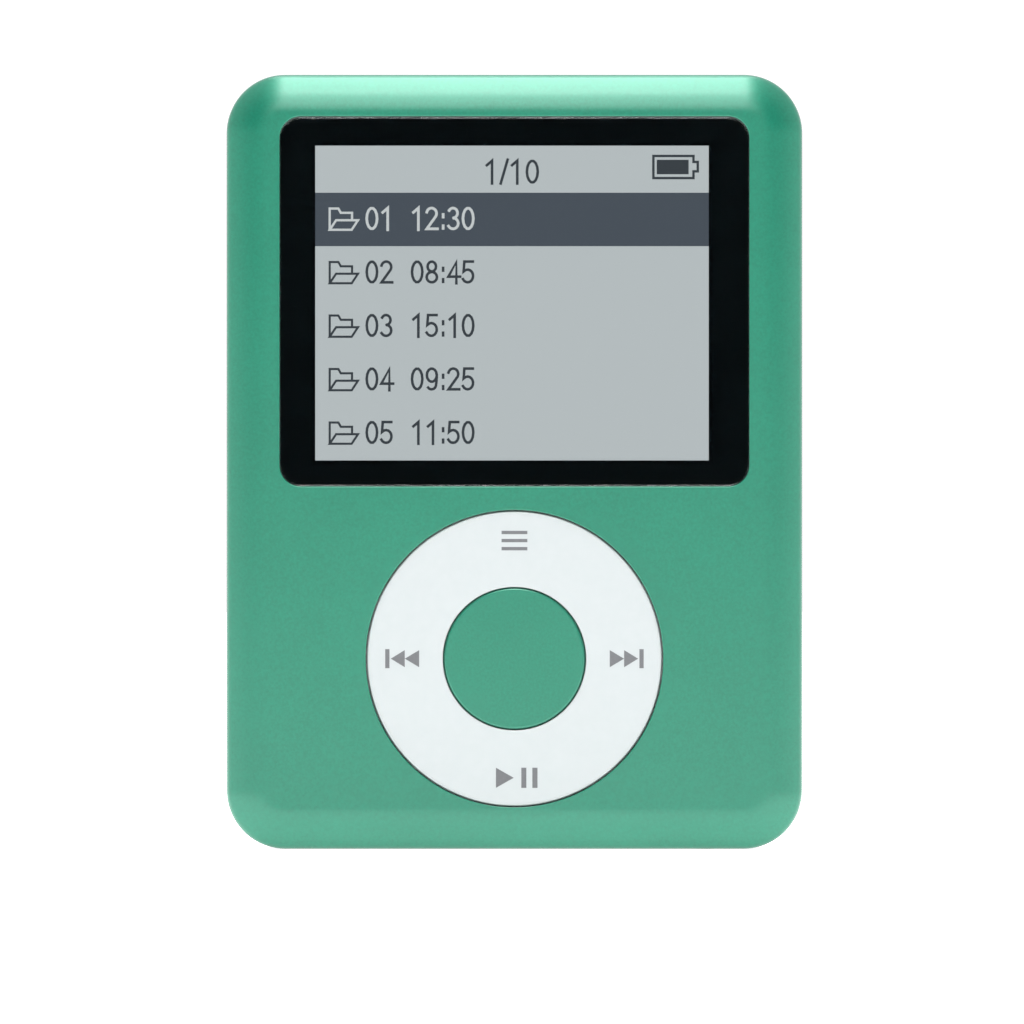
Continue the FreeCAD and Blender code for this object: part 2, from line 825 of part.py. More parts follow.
def make_headphone_jack():
    z = (jack_front, jack_end)
    body = block(around(jack_x, jack_body_width), around(jack_depth, jack_body_thick), z)
    body = body.makeChamfer(jack_body_bevel, [e for e in body.Edges
                                              if abs(e.tangentAt(e.FirstParameter).z) > 0.5])
    wings = block(around(jack_x, jack_body_width + 2 * jack_wing),
                  (board_back, board_back + jack_wing_thick),
                  (frame_inner_inset + 2 * board_gap, jack_end - jack_wing_short))
    bore = upright_rod(jack_bore, jack_x, jack_depth, (0, jack_front + jack_bore_length))
    lead_in = Part.makeCone(jack_bore + jack_lead_in, jack_bore, jack_lead_in,
                            at(jack_x, jack_depth, jack_front), Vector(0, 0, 1))
    jack = joined([body, wings]).cut(bore).cut(lead_in)
    for side in spring_sides():
        near, far = jack_bore - 2 * spring_inset, jack_bore + 2 * spring_thick
        across = sorted((jack_x + side * near, jack_x + side * far))
        jack = jack.cut(block(across, around(jack_depth, spring_width + spring_inset),
                              spring_limits()))
    return jack


def make_jack_contacts():
    """Leaf springs in their slots, each bowed a little into the bore."""
    low, high = spring_limits()
    middle = (low + high) / 2
    springs = []
    for side in spring_sides():
        outer = jack_bore + 2 * spring_thick
        points = [(outer, low), (outer - spring_thick, low), (jack_bore - spring_inset, middle),
                  (outer - spring_thick, high), (outer, high),
                  (jack_bore - spring_inset + spring_thick, middle)]
        corners = [at(jack_x + side * r, jack_depth - spring_width / 2, z) for r, z in points]
        face = Part.Face(Part.makePolygon(corners + corners[:1]))
        springs.append(face.extrude(Vector(0, spring_width, 0)))
    return Part.makeCompound(springs)


def save(name, shape):
    solids = len(shape.Solids)
    print(f"{name}: valid {shape.isValid()}, solids {solids}, volume {shape.Volume:.2f}")
    shape.exportStep(f"parts/{name}.step")


save("front_shell", make_front_shell())
save("rear_cover", make_rear_cover())
save("mid_frame", make_mid_frame())
save("display_window", make_display_window())
save("window_tape", make_window_tape())
save("window_mask", make_window_mask())
save("display_cushion", make_display_cushion())
save("display_front_glass", block((glass_left, seal_right), (glass_front, ledge_face),
                                  (glass_low, glass_high)))
save("display_rear_glass", block((glass_left, glass_right), (ledge_face, glass_back),
                                 (glass_low, glass_high)))
save("display_driver", block(around(seal_right + chip_width, chip_width),
                             (ledge_face - chip_thick, ledge_face),
                             around(active_z, chip_length)))
save("display_flex", make_display_flex())
save("light_guide", block((glass_left + guide_border, seal_right), (glass_back, guide_back),
                          (glass_low + guide_border / 2, glass_high - guide_border / 2)))
lights = [block((glass_left + module_wall, glass_left + module_wall + led_width),
                (glass_back, guide_back), around(active_z + step * led_pitch, led_length))
          for step in (-1, 0, 1)]
save("backlight_leds", Part.makeCompound(lights))
save("display_tray", make_module_frame())
save("nav_ring", make_nav_ring())
save("center_button", make_center_button())
save("ring_pad", make_ring_pad())
save("dome_sheet", make_dome_sheet())
save("ring_domes", Part.makeCompound([snap_dome(x, z) for x, z in key_places()]))
save("center_dome", snap_dome(0, wheel_z))
save("main_board", make_main_board())
save("frame_screws", make_frame_screws())
save("processor", block(around(processor_x, processor_side),
                        (board_back, board_back + processor_thick),
                        around(processor_z, processor_side)))
save("flash_chip", make_flash_chip())
save("crystal", block(around(crystal_x, crystal_length), (board_back, board_back + crystal_thick),
                      around(crystal_z, crystal_width)))
save("charge_chip", block(around(charger_x, charger_length),
                          (board_back, board_back + charger_thick),
                          around(charger_z, charger_width)))
save("board_parts", make_board_parts())
save("battery", make_battery())
save("battery_tape", make_battery_tape())
save("battery_board", make_battery_board())
save("battery_tab_plus", make_battery_tab(tab_x))
save("battery_tab_minus", make_battery_tab(-tab_x))
save("hold_knob", make_hold_knob())
save("hold_lever", make_hold_lever())
save("hold_switch", make_hold_switch())
save("usb_shell", make_socket_shell())
save("usb_tongue", make_socket_tongue())
save("usb_contacts", make_socket_contacts())
save("headphone_jack", make_headphone_jack())
save("jack_contacts", make_jack_contacts())
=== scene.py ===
import math
import bmesh
import bpy
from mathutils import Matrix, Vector
from mathutils.geometry import tessellate_polygon


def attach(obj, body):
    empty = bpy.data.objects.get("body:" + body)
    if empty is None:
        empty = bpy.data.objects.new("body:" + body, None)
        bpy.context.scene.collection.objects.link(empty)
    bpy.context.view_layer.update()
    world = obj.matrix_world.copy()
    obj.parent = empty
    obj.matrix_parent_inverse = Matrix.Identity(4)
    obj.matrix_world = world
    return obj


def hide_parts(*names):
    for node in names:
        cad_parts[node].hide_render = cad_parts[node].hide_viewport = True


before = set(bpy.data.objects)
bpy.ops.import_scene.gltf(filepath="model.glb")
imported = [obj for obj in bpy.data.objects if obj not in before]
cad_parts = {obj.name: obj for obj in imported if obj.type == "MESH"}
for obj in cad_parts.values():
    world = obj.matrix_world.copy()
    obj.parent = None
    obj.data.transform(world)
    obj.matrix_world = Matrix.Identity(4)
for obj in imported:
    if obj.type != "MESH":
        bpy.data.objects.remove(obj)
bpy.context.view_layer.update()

print("frame loaded,", len(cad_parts), "nodes")

mm = 0.001
frontDepth = 4.0    # the front face stands this far in front of the middle, in mm
weldDistance = 1e-7    # points of a piece that are nearer than this, in metres, become one


def place(x, depth, z):
    # depth is measured back from the front face, as in the part's source
    return Vector((x * mm, (depth - frontDepth) * mm, z * mm))


def linearColour(hexText):
    # sRGB hex to the linear colour that a shader takes
    levels = [int(hexText[i:i + 2], 16) / 255 for i in (0, 2, 4)]
    return [v / 12.92 if v <= 0.04045 else ((v + 0.055) / 1.055) ** 2.4 for v in levels] + [1.0]


def perMetre(size):
    # how often a pattern of this real size in mm repeats in a metre, as a texture's scale
    return 1 / (size * mm)


def feed(tree, node, links):
    # joins each named socket of a node to what it takes its value from
    for socket, source in links.items():
        tree.links.new(source, node.inputs[socket])


def addNode(tree, kind, values=None, links=None, **settings):
    # one node with its menu settings, its socket values and what feeds it
    node = tree.nodes.new(kind)
    for name, setting in settings.items():
        setattr(node, name, setting)
    for socket, value in (values or {}).items():
        node.inputs[socket].default_value = value
    feed(tree, node, links or {})
    return node


def startFinish(name, values):
    # a material with its shader, its output and the object's own coordinates
    material = bpy.data.materials.new(name)
    material.use_nodes = True
    tree = material.node_tree
    tree.nodes.clear()
    shader = addNode(tree, "ShaderNodeBsdfPrincipled", values)
    addNode(tree, "ShaderNodeOutputMaterial", links={"Surface": shader.outputs["BSDF"]})
    spot = addNode(tree, "ShaderNodeTexCoord").outputs["Object"]
    return material, tree, shader, spot


# finishes: sizes in mm, and a pattern's value picks a colour between two hex values

shellPaint = {"deep": "03644d", "bright": "0d8065", "grain": 0.24, "cloud": 7.0,
              "cloudShare": 0.25, "pit": 0.008, "metal": 0.5, "rough": 0.4, "coat": 1.0,
              "coatRough": 0.27, "coatIor": 1.6}


def beadBlastedAluminium():
    # anodised aluminium, bead blasted before dyeing: a fine grain that spreads the light into a
    # satin sheen under the clear sealed layer
    material, tree, shader, spot = startFinish("bead blasted anodised aluminium", {
        "Metallic": shellPaint["metal"], "Roughness": shellPaint["rough"],
        "Specular IOR Level": 0.0, "Coat Weight": shellPaint["coat"],
        "Coat Roughness": shellPaint["coatRough"], "Coat IOR": shellPaint["coatIor"]})
    # real blasting leaves pits near 0.05 mm; drawn coarser here so that it shows
    grain = addNode(tree, "ShaderNodeTexNoise", {"Scale": perMetre(shellPaint["grain"]),
                    "Detail": 2.0, "Roughness": 0.6}, {"Vector": spot})
    cloud = addNode(tree, "ShaderNodeTexNoise", {"Scale": perMetre(shellPaint["cloud"]),
                    "Detail": 1.0}, {"Vector": spot})
    both = addNode(tree, "ShaderNodeMix", {"Factor": shellPaint["cloudShare"]},
                   {"A": grain.outputs["Fac"], "B": cloud.outputs["Fac"]})
    tones = addNode(tree, "ShaderNodeMix", {"A": linearColour(shellPaint["deep"]),
                    "B": linearColour(shellPaint["bright"])},
                    {"Factor": both.outputs["Result"]}, data_type="RGBA")
    bump = addNode(tree, "ShaderNodeBump", {"Strength": 0.5, "Distance": shellPaint["pit"] * mm},
                   {"Height": grain.outputs["Fac"]})
    feed(tree, shader, {"Base Color": tones.outputs["Result"], "Normal": bump.outputs["Normal"]})
    return material


steelPolish = {"colour": "828488", "marks": 0.35, "drawn": 0.12, "sharp": 0.1, "hazy": 0.24,
               "scratch": 0.002}


def mirrorSteel():
    # stainless steel, drawn and then polished to a mirror: sharp reflections, and the fine
    # rubbing marks that a pocket leaves; darker than the real one, which a white room would hide
    material, tree, shader, spot = startFinish("mirror polished stainless steel", {
        "Metallic": 1.0, "Base Color": linearColour(steelPolish["colour"])})
    stretch = addNode(tree, "ShaderNodeMapping", {"Scale": (1.0, 1.0, steelPolish["drawn"])},
                      {"Vector": spot})
    marks = addNode(tree, "ShaderNodeTexNoise", {"Scale": perMetre(steelPolish["marks"]),
                    "Detail": 4.0}, {"Vector": stretch.outputs["Vector"]})
    haze = addNode(tree, "ShaderNodeMapRange", {"To Min": steelPolish["sharp"],
                   "To Max": steelPolish["hazy"]}, {"Value": marks.outputs["Fac"]})
    bump = addNode(tree, "ShaderNodeBump", {"Strength": 0.04,
                   "Distance": steelPolish["scratch"] * mm}, {"Height": marks.outputs["Fac"]})
    feed(tree, shader, {"Roughness": haze.outputs["Result"], "Normal": bump.outputs["Normal"]})
    return material


def polishedMoulding(name, low, high, rough=0.24, grain=0.9, ripple=0.004):
    # polycarbonate from a polished mould, or what is as smooth, such as glass: a hard clean gloss
    # with a trace of flow lines
    material, tree, shader, spot = startFinish(name, {"Roughness": rough, "IOR": 1.58})
    flow = addNode(tree, "ShaderNodeTexNoise", {"Scale": perMetre(grain), "Detail": 2.0},
                   {"Vector": spot})
    tones = addNode(tree, "ShaderNodeMix", {"A": linearColour(low), "B": linearColour(high)},
                    {"Factor": flow.outputs["Fac"]}, data_type="RGBA")
    bump = addNode(tree, "ShaderNodeBump", {"Strength": 0.05, "Distance": ripple * mm},
                   {"Height": flow.outputs["Fac"]})
    feed(tree, shader, {"Base Color": tones.outputs["Result"], "Normal": bump.outputs["Normal"]})
    return material


def sparkedMoulding(name, low, high, rough=0.5, spark=0.12, pebbleDeep=0.01):
    # glass filled nylon or another filled plastic from a spark eroded mould: dull, with a fine
    # even pebble, smoother in its pits than on the ridges between them
    smoother, rougher = 0.08, 0.1
    material, tree, shader, spot = startFinish(name, {"IOR": 1.53})
    pebble = addNode(tree, "ShaderNodeTexVoronoi", {"Scale": perMetre(spark)}, {"Vector": spot})
    tones = addNode(tree, "ShaderNodeMix", {"A": linearColour(low), "B": linearColour(high)},
                    {"Factor": pebble.outputs["Distance"]}, data_type="RGBA")
    dull = addNode(tree, "ShaderNodeMapRange", {"To Min": rough - smoother,
                   "To Max": rough + rougher}, {"Value": pebble.outputs["Distance"]})
    bump = addNode(tree, "ShaderNodeBump", {"Strength": 0.2, "Distance": pebbleDeep * mm},
                   {"Height": pebble.outputs["Distance"]})
    feed(tree, shader, {"Base Color": tones.outputs["Result"],
                        "Roughness": dull.outputs["Result"], "Normal": bump.outputs["Normal"]})
    return material


def clearAcrylic(cloud=3.0, haze=0.01):
    # cast acrylic, cut and polished: clear, with a hair of haze from the hard coat
    material, tree, shader, spot = startFinish("hard coated clear acrylic", {
        "Base Color": linearColour("ffffff"), "IOR": 1.49, "Transmission Weight": 1.0})
    patches = addNode(tree, "ShaderNodeTexNoise", {"Scale": perMetre(cloud), "Detail": 3.0},
                      {"Vector": spot})
    film = addNode(tree, "ShaderNodeMapRange", {"To Min": 0.0, "To Max": haze},
                   {"Value": patches.outputs["Fac"]})
    feed(tree, shader, {"Roughness": film.outputs["Result"]})
    return material


def rolledMetal(name, low, high, rough=0.3, brush=0.2, along=(1.0, 1.0, 0.1), worn=0.08):
    # rolled sheet, pressed and plated: fine lines along the rolling direction
    material, tree, shader, spot = startFinish(name, {"Metallic": 1.0})
    stretch = addNode(tree, "ShaderNodeMapping", {"Scale": along}, {"Vector": spot})
    lines = addNode(tree, "ShaderNodeTexNoise", {"Scale": perMetre(brush), "Detail": 3.0},
                    {"Vector": stretch.outputs["Vector"]})
    tones = addNode(tree, "ShaderNodeMix", {"A": linearColour(low), "B": linearColour(high)},
                    {"Factor": lines.outputs["Fac"]}, data_type="RGBA")
    wear = addNode(tree, "ShaderNodeMapRange", {"To Min": rough - worn, "To Max": rough + worn},
                   {"Value": lines.outputs["Fac"]})
    feed(tree, shader, {"Base Color": tones.outputs["Result"],
                        "Roughness": wear.outputs["Result"]})
    return material


def softSheet(name, low, high, rough=0.7, grain=0.25, cellDeep=0.01):
    # silicone, foam, tape or film: soft, and slightly uneven
    material, tree, shader, spot = startFinish(name, {"Roughness": rough, "IOR": 1.41})
    cells = addNode(tree, "ShaderNodeTexNoise", {"Scale": perMetre(grain), "Detail": 4.0},
                    {"Vector": spot})
    tones = addNode(tree, "ShaderNodeMix", {"A": linearColour(low), "B": linearColour(high)},
                    {"Factor": cells.outputs["Fac"]}, data_type="RGBA")
    bump = addNode(tree, "ShaderNodeBump", {"Strength": 0.3, "Distance": cellDeep * mm},
                   {"Height": cells.outputs["Fac"]})
    feed(tree, shader, {"Base Color": tones.outputs["Result"], "Normal": bump.outputs["Normal"]})
    return material


def copperedBoard(name, low, high, track=1.1, copperHigh=0.02):
    # glass epoxy laminate under solder mask: gloss lacquer over the lines of its copper tracks
    material, tree, shader, spot = startFinish(name, {
        "Roughness": 0.32, "IOR": 1.52, "Coat Weight": 0.4, "Coat Roughness": 0.15})
    turn = addNode(tree, "ShaderNodeMapping", {"Rotation": (math.pi / 2, 0.0, 0.0)},
                   {"Vector": spot})
    tracks = addNode(tree, "ShaderNodeTexBrick", {
        "Scale": perMetre(track), "Mortar Size": 0.06, "Color1": linearColour(low),
        "Color2": linearColour(low), "Mortar": linearColour(high)},
        {"Vector": turn.outputs["Vector"]})
    bump = addNode(tree, "ShaderNodeBump", {"Strength": 0.2, "Distance": copperHigh * mm},
                   {"Height": tracks.outputs["Fac"]})
    feed(tree, shader, {"Base Color": tracks.outputs["Color"], "Normal": bump.outputs["Normal"]})
    return material


lcdCell = {"unlit": "050606", "dot": 0.219, "gap": 0.03, "gapShade": 0.94}


def litGlass(name, hexText, strength):
    # liquid crystal cell over its backlight: even light, broken only by the gaps between dots
    material, tree, shader, spot = startFinish(name, {
        "Base Color": linearColour(lcdCell["unlit"]), "Roughness": 0.5,
        "Specular IOR Level": 0.0, "Emission Strength": strength})
    turn = addNode(tree, "ShaderNodeMapping", {"Rotation": (math.pi / 2, 0.0, 0.0)},
                   {"Vector": spot})
    lit = linearColour(hexText)
    dots = addNode(tree, "ShaderNodeTexBrick", {
        "Scale": perMetre(lcdCell["dot"]), "Mortar Size": lcdCell["gap"], "Brick Width": 1.0,
        "Row Height": 1.0, "Color1": lit, "Color2": lit,
        "Mortar": [v * lcdCell["gapShade"] for v in lit]},
        {"Vector": turn.outputs["Vector"]}, offset=0.0)
    feed(tree, shader, {"Emission Color": dots.outputs["Color"]})
    return material


def printedInk(name, low, high, shine=0.5, uneven=0.3):
    # screen or pad printed ink: thin, matt, a little uneven where the pad lifted
    material, tree, shader, spot = startFinish(name, {
        "Roughness": 0.6, "IOR": 1.5, "Specular IOR Level": shine})
    wear = addNode(tree, "ShaderNodeTexNoise", {"Scale": perMetre(uneven), "Detail": 3.0},
                   {"Vector": spot})
    tones = addNode(tree, "ShaderNodeMix", {"A": linearColour(low), "B": linearColour(high)},
                    {"Factor": wear.outputs["Fac"]}, data_type="RGBA")
    feed(tree, shader, {"Base Color": tones.outputs["Result"]})
    return material


aluminium = beadBlastedAluminium()
steel = mirrorSteel()
whiteGloss = polishedMoulding("white gloss polycarbonate", "abb1b2", "b0b5b6")
knobGloss = polishedMoulding("dark gloss acetal", "17191b", "202326", 0.32, 0.4)
acrylic = clearAcrylic()
nylon = sparkedMoulding("black glass filled nylon", "0d0e0f", "17181a")
blackMoulding = sparkedMoulding("black liquid crystal polymer", "101112", "1b1c1e", 0.42, 0.08)
whiteMoulding = sparkedMoulding("white polycarbonate tray", "d9dcdb", "e9ebea", 0.45, 0.15)
blackInk = printedInk("black screen printed ink", "060c0e", "080f12", 0.0)
wheelInk = printedInk("grey pad printed ink", "5a5b5e", "66676a")
print("main finishes made")


# mesh making, in mm

def roundedLoop(width, height, radius, middle, steps):
    # a rounded rectangle as x and z pairs, anticlockwise from the upper end of its right side
    points = []
    for quarter, (sx, sz) in enumerate(((1, 1), (-1, 1), (-1, -1), (1, -1))):
        hub = (middle[0] + sx * (width / 2 - radius), middle[1] + sz * (height / 2 - radius))
        for step in range(steps + 1):
            turn = (quarter + step / steps) * math.pi / 2
            points.append((hub[0] + radius * math.cos(turn), hub[1] + radius * math.sin(turn)))
    return points


def circleLoop(radius, middle, steps):
    return [(middle[0] + radius * math.cos(2 * math.pi * i / steps),
             middle[1] + radius * math.sin(2 * math.pi * i / steps)) for i in range(steps)]


def quarterRound(size, steps=5):
    # (inwards, deeper) offsets of a small rounded rim, from its face to its side
    return [(size * (1 - math.sin(i * math.pi / 2 / steps)),
             size * (1 - math.cos(i * math.pi / 2 / steps))) for i in range(steps + 1)]


class MeshPlan:
    # collects points and faces before one piece is made of them
    def __init__(self):
        self.points, self.faces = [], []

    def loop(self, points):
        first = len(self.points)
        self.points.extend(points)
        return list(range(first, len(self.points)))

    def join(self, loops, leaveOut=()):
        # strips of quads from each loop to the next; leaveOut names sides that stay open
        for one, two in zip(loops, loops[1:]):
            for i in range(len(one)):
                if i not in leaveOut:
                    j = (i + 1) % len(one)
                    self.faces.append((one[i], one[j], two[j], two[i]))

    def fill(self, outline, holes=(), flat=(0, 2)):
        # a flat face between an outline and its holes; flat picks the two directions it lies in
        rings = [outline] + list(holes)
        indices = [i for ring in rings for i in ring]
        shapes = [[Vector((self.points[i][flat[0]], self.points[i][flat[1]], 0)) for i in ring]
                  for ring in rings]
        for triangle in tessellate_polygon(shapes):
            self.faces.append(tuple(indices[i] for i in triangle))

    def piece(self, name, material, body="case", crisp=35, weighted=False):
        # edges that turn by more than crisp degrees stay sharp
        mesh = bpy.data.meshes.new(name)
        mesh.from_pydata([place(*point) for point in self.points], [], self.faces)
        shape = bmesh.new()
        shape.from_mesh(mesh)
        bmesh.ops.remove_doubles(shape, verts=shape.verts, dist=weldDistance)
        bmesh.ops.recalc_face_normals(shape, faces=shape.faces)
        shape.to_mesh(mesh)
        shape.free()
        mesh.shade_smooth()
        mesh.set_sharp_from_angle(angle=math.radians(crisp))
        mesh.materials.append(material)
        made = bpy.data.objects.new(name, mesh)
        bpy.context.scene.collection.objects.link(made)
        if weighted:
            made.modifiers.new("flat faces stay flat", "WEIGHTED_NORMAL").keep_sharp = True
        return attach(made, body)


# front shell

case = {"width": 51.4, "height": 69.1, "corner": 5.25, "leastCorner": 0.3, "cornerSteps": 24,
        "thickness": 8.0, "front": 2.6}
case["middle"] = (0.0, case["height"] / 2)
window = {"width": 41.75, "height": 32.9, "corner": 1.9, "cornerSteps": 12,
          "middle": (0.0, 48.79), "gap": 0.08, "recess": 0.08, "rim": 0.08, "back": 1.19,
          "lip": 0.7, "lipFront": 0.9}
wheel = {"middle": (0.0, 17.03), "radius": 13.1, "gap": 0.12, "top": 0.15}
shell = {"step": 0.06, "edgeIn": 3.58, "edgeDeep": 1.7, "tight": 0.95, "wideSteps": 12,
         "tightSteps": 10, "wall": 0.8, "bevel": 0.08, "wheelBevel": 0.7, "rim": 0.08,
         "rimSteps": 3, "drawIn": 0.6, "flatBand": 0.05, "ledge": 0.25, "ledgeDepth": 2.45,
         "innerEdge": 2.0}


def caseLoop(inset, depth):
    # the case's outline, drawn in all round by inset
    return [(x, depth, z) for x, z in roundedLoop(
        case["width"] - 2 * inset, case["height"] - 2 * inset,
        max(case["corner"] - inset, case["leastCorner"]), case["middle"], case["cornerSteps"])]


def windowLoop(out, depth):
    # the window opening's outline, grown all round by out
    return [(x, depth, z) for x, z in roundedLoop(
        window["width"] + 2 * out, window["height"] + 2 * out, window["corner"] + out,
        window["middle"], window["cornerSteps"])]


def wheelLoop(radius, depth, steps=120):
    # a circle round the wheel's middle
    return [(x, depth, z) for x, z in circleLoop(radius, wheel["middle"], steps)]


def pillowProfile():
    # (inset, depth) from the flat face down to the side: a wide arc, then a tight one
    edgeIn, deep, tight = shell["edgeIn"], shell["edgeDeep"], shell["tight"]
    wideSteps, tightSteps = shell["wideSteps"], shell["tightSteps"]
    wide = ((edgeIn - tight) ** 2 + deep ** 2 - tight ** 2) / (2 * (deep - tight))
    meet = math.asin((edgeIn - tight) / (wide - tight))
    profile = []
    for i in range(wideSteps + 1):
        turn = meet * i / wideSteps
        profile.append((edgeIn - wide * math.sin(turn), wide - wide * math.cos(turn)))
    for i in range(1, tightSteps + 1):
        turn = meet + (math.pi / 2 - meet) * i / tightSteps
        profile.append((tight - tight * math.sin(turn), deep - tight * math.cos(turn)))
    return profile


def makeFrontShell():
    plan = MeshPlan()
    step, wall, bevel, back = shell["step"], shell["wall"], shell["bevel"], case["front"]
    band = shell["flatBand"]    # a flat strip beside each edge keeps the big face's shading even
    outside = [plan.loop(caseLoop(step + inset, depth)) for inset, depth in
               [(shell["edgeIn"] + band, 0.0)] + pillowProfile()]
    # towards its back edge the side draws in by a hair and comes out again
    outside += [plan.loop(caseLoop(step + out * shell["drawIn"], back - shell["rim"] + deep))
                for deep, out in reversed(quarterRound(shell["rim"], shell["rimSteps"]))]
    inside = [plan.loop(caseLoop(step + wall + inset, depth)) for inset, depth in
              ((shell["ledge"], back), (shell["ledge"], shell["ledgeDepth"]),
               (shell["innerEdge"], wall))]
    plan.join(outside + inside)
    rims = [(bevel + band, 0.0)] + quarterRound(bevel) + [(0.0, wall)]
    windowRims = [plan.loop(windowLoop(out, deep)) for out, deep in rims]
    wheelHole = wheel["radius"] + wheel["gap"]
    wheelRims = [plan.loop(wheelLoop(wheelHole + out * shell["wheelBevel"], deep))
                 for out, deep in rims]
    plan.join(windowRims)
    plan.join(wheelRims)
    plan.fill(outside[0], [windowRims[0], wheelRims[0]])
    plan.fill(inside[-1], [windowRims[-1], wheelRims[-1]])
    made = plan.piece("pressed_front_shell", aluminium, crisp=50, weighted=True)
    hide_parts("front_shell")


makeFrontShell()
print("front shell made")


# rear cover

cover = {"wall": 0.5, "edge": 1.3, "edgeSteps": 10, "innerSteps": 4, "start": 2.65, "rim": 0.06,
         "rimSteps": 3, "holeSteps": 8}
socket = {"x": 0.0, "width": 7.8, "low": 3.85, "high": 6.6, "corner": 0.3}
jack = {"x": 17.0, "depth": 4.75, "hole": 2.15, "steps": 64}
hold = {"x": -16.0, "depth": 4.75, "slot": 5.0, "deep": 1.5, "corner": 0.25}


def bottomOpenings(out):
    # outlines of the three openings in the bottom wall, as x and depth pairs
    middle = (socket["low"] + socket["high"]) / 2
    steps = cover["holeSteps"]
    return [roundedLoop(socket["width"] + 2 * out, socket["high"] - socket["low"] + 2 * out,
                        socket["corner"] + out, (socket["x"], middle), steps),
            roundedLoop(hold["slot"] + 2 * out, hold["deep"] + 2 * out, hold["corner"] + out,
                        (hold["x"], hold["depth"]), steps),
            circleLoop(jack["hole"] + out, (jack["x"], jack["depth"]), jack["steps"])]


def backRound(plan, inset, steps):
    # the quarter round from the cover's side to its back; inset is 0 outside and the wall inside
    radius = cover["edge"] - inset
    sideEnd = case["thickness"] - cover["edge"]
    turns = [i * math.pi / 2 / steps for i in range(1, steps + 1)]
    return [plan.loop(caseLoop(inset + radius * (1 - math.cos(turn)),
                               sideEnd + radius * math.sin(turn))) for turn in turns]


def makeRearCover():
    plan = MeshPlan()
    wall, start, rim = cover["wall"], cover["start"], cover["rim"]
    sideEnd = case["thickness"] - cover["edge"]
    bottom = 3 * (case["cornerSteps"] + 1) - 1    # the side of each loop that runs along the bottom
    outerRims = [plan.loop(caseLoop(inset, start + deep))
                 for inset, deep in ((wall / 2, 0.0), (rim, 0.0), (0.0, rim))]
    outerEnd = plan.loop(caseLoop(0.0, sideEnd))
    plan.join(outerRims)
    plan.join([outerRims[-1], outerEnd], leaveOut=(bottom,))
    outerRounds = backRound(plan, 0.0, cover["edgeSteps"])
    plan.join([outerEnd] + outerRounds)
    plan.fill(outerRounds[-1])
    innerRim = plan.loop(caseLoop(wall, start))
    innerEnd = plan.loop(caseLoop(wall, sideEnd))
    innerRounds = backRound(plan, wall, cover["innerSteps"])
    plan.join([outerRims[0], innerRim])
    plan.join([innerRim, innerEnd], leaveOut=(bottom,))
    plan.join([innerEnd] + innerRounds)
    plan.fill(innerRounds[-1])
    # the bottom side is left open above and filled here round the three openings
    outerHoles, innerHoles = [], []
    rims = quarterRound(rim, cover["rimSteps"]) + [(0.0, wall)]
    for outlines in zip(*[bottomOpenings(out) for out, up in rims]):
        loops = [plan.loop([(x, depth, up) for x, depth in outline])
                 for outline, (out, up) in zip(outlines, rims)]
        plan.join(loops)
        outerHoles.append(loops[0])
        innerHoles.append(loops[-1])
    after = (bottom + 1) % len(outerEnd)
    for near, far, holes in ((outerRims[-1], outerEnd, outerHoles),
                             (innerRim, innerEnd, innerHoles)):
        plan.fill([near[bottom], near[after], far[after], far[bottom]], holes, flat=(0, 1))
    made = plan.piece("drawn_steel_cover", steel, crisp=50, weighted=True)
    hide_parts("rear_cover")


makeRearCover()
print("rear cover made")


# display window and picture

def makeWindow():
    plan = MeshPlan()
    gap, lip, lipFront = window["gap"], window["lip"], window["lipFront"]
    body = [plan.loop(windowLoop(-gap - out, window["recess"] + deep))
            for out, deep in quarterRound(window["rim"])]
    body += [plan.loop(windowLoop(out, depth))
             for out, depth in ((-gap, lipFront), (lip, lipFront), (lip, window["back"]))]
    plan.fill(body[0])
    plan.join(body)
    plan.fill(body[-1])
    made = plan.piece("acrylic_window", acrylic, crisp=50, weighted=True)
    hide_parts("display_window")


display = {"left": -17.74, "right": 17.30, "low": 34.66, "high": 62.69, "depth": 1.44,
           "layer": 0.008, "header": 4.19, "row": 4.763, "glow": 1.07, "stroke": 0.2,
           "iconX": -16.45, "labelX": -13.28, "firstLow": 55.198, "capHeight": 2.1,
           "ground": "b5bdbf", "bar": "49515a", "dark": "3b4146", "light": "c3c9ca"}
labels = ("01  12:30", "02  08:45", "03  15:10", "04  09:25", "05  11:50")
pageCount = {"signs": "1/10", "left": -2.72, "low": 59.32, "height": 2.2, "pitch": 0.66}
charge = {"left": 12.37, "right": 15.94, "low": 59.80, "high": 61.77, "tip": 16.32,
          "tipLow": 60.40, "tipHigh": 61.24, "line": 0.22, "bar": (12.67, 15.51, 60.14, 61.43)}
mitreLimit = 0.4    # keeps the mitre of a sharp corner short
sameSpot = 0.001    # a stroke whose ends are nearer than this is closed, in parts of its height


def strokePath(plan, points, width, depth, closed=False):
    # a flat line of even width through x and z points, with mitred corners; an open line runs on
    # by half its width at each end
    count = len(points)
    sides = ([], [])
    for i, (x, z) in enumerate(points):
        before = points[i - 1] if i or closed else None
        after = points[(i + 1) % count] if i < count - 1 or closed else None
        ways = [Vector((b[0] - a[0], b[1] - a[1])).normalized()
                for a, b in ((before, (x, z)), ((x, z), after)) if a and b]
        across = [Vector((-way.y, way.x)) for way in ways]
        if len(across) == 2:
            mitre = (across[0] + across[1]).normalized()
            reach = mitre / max(mitre.dot(across[0]), mitreLimit)
        else:
            reach = across[0]
            onward = 1 if before else -1
            x += onward * ways[0].x * width / 2
            z += onward * ways[0].y * width / 2
        for side, sign in zip(sides, (1, -1)):
            side.append((x + sign * reach.x * width / 2, depth, z + sign * reach.y * width / 2))
    left, right = plan.loop(sides[0]), plan.loop(sides[1])
    for i in range(count if closed else count - 1):
        j = (i + 1) % count
        plan.faces.append((left[i], left[j], right[j], right[i]))


